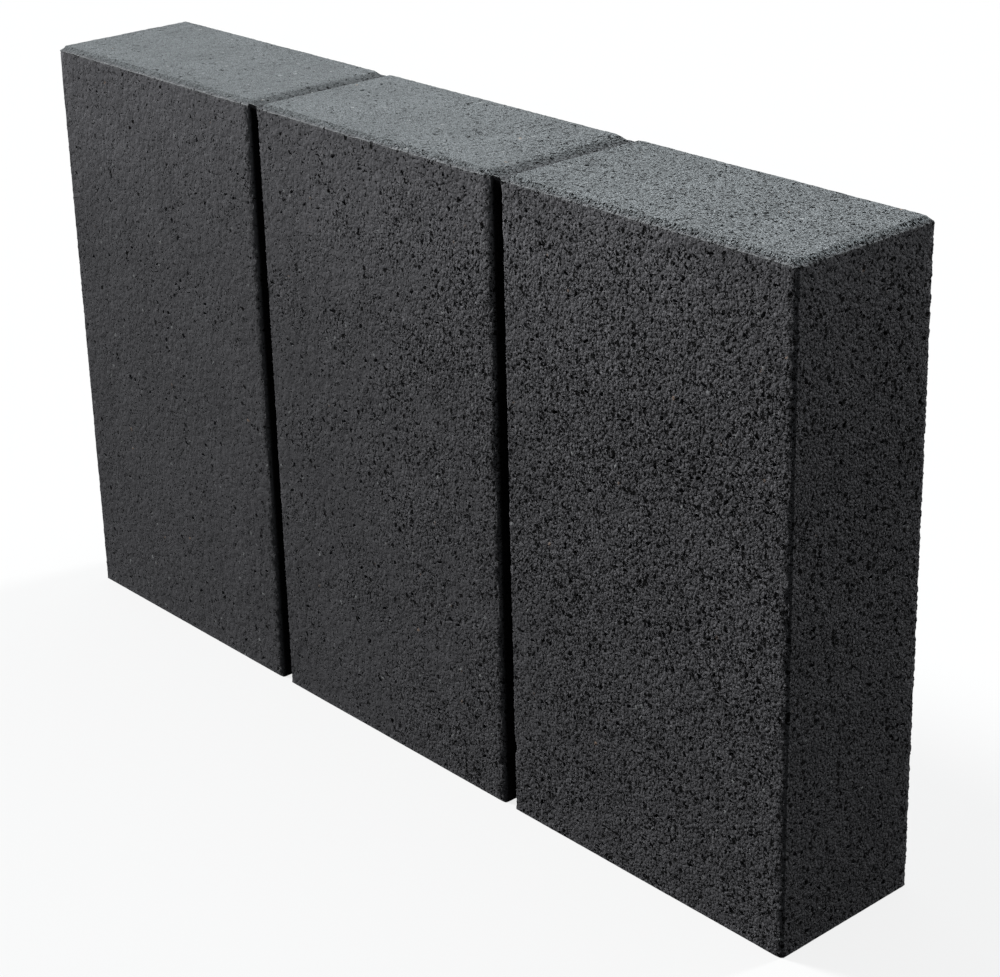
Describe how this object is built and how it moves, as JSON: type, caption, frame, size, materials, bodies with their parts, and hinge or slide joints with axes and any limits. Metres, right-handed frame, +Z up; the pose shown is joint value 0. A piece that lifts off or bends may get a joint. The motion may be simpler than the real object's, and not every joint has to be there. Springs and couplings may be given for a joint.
{
  "type": "concrete edging block",
  "caption": "Upright rectangular concrete edging block, cast in one piece, with false joints up its front face and a bevelled top crossed by shallow grooves.",
  "frame": {"origin": "centre of the foot, on the floor", "axes": "+X along the block, +Y from the front face to the back face, +Z up"},
  "size_m": [0.5, 0.08, 0.3],
  "materials": {
    "concrete": "rough dark grey pressed concrete with open pores"
  },
  "bodies": {
    "root": {"edging_block": "concrete"}
  },
  "joints": []
}
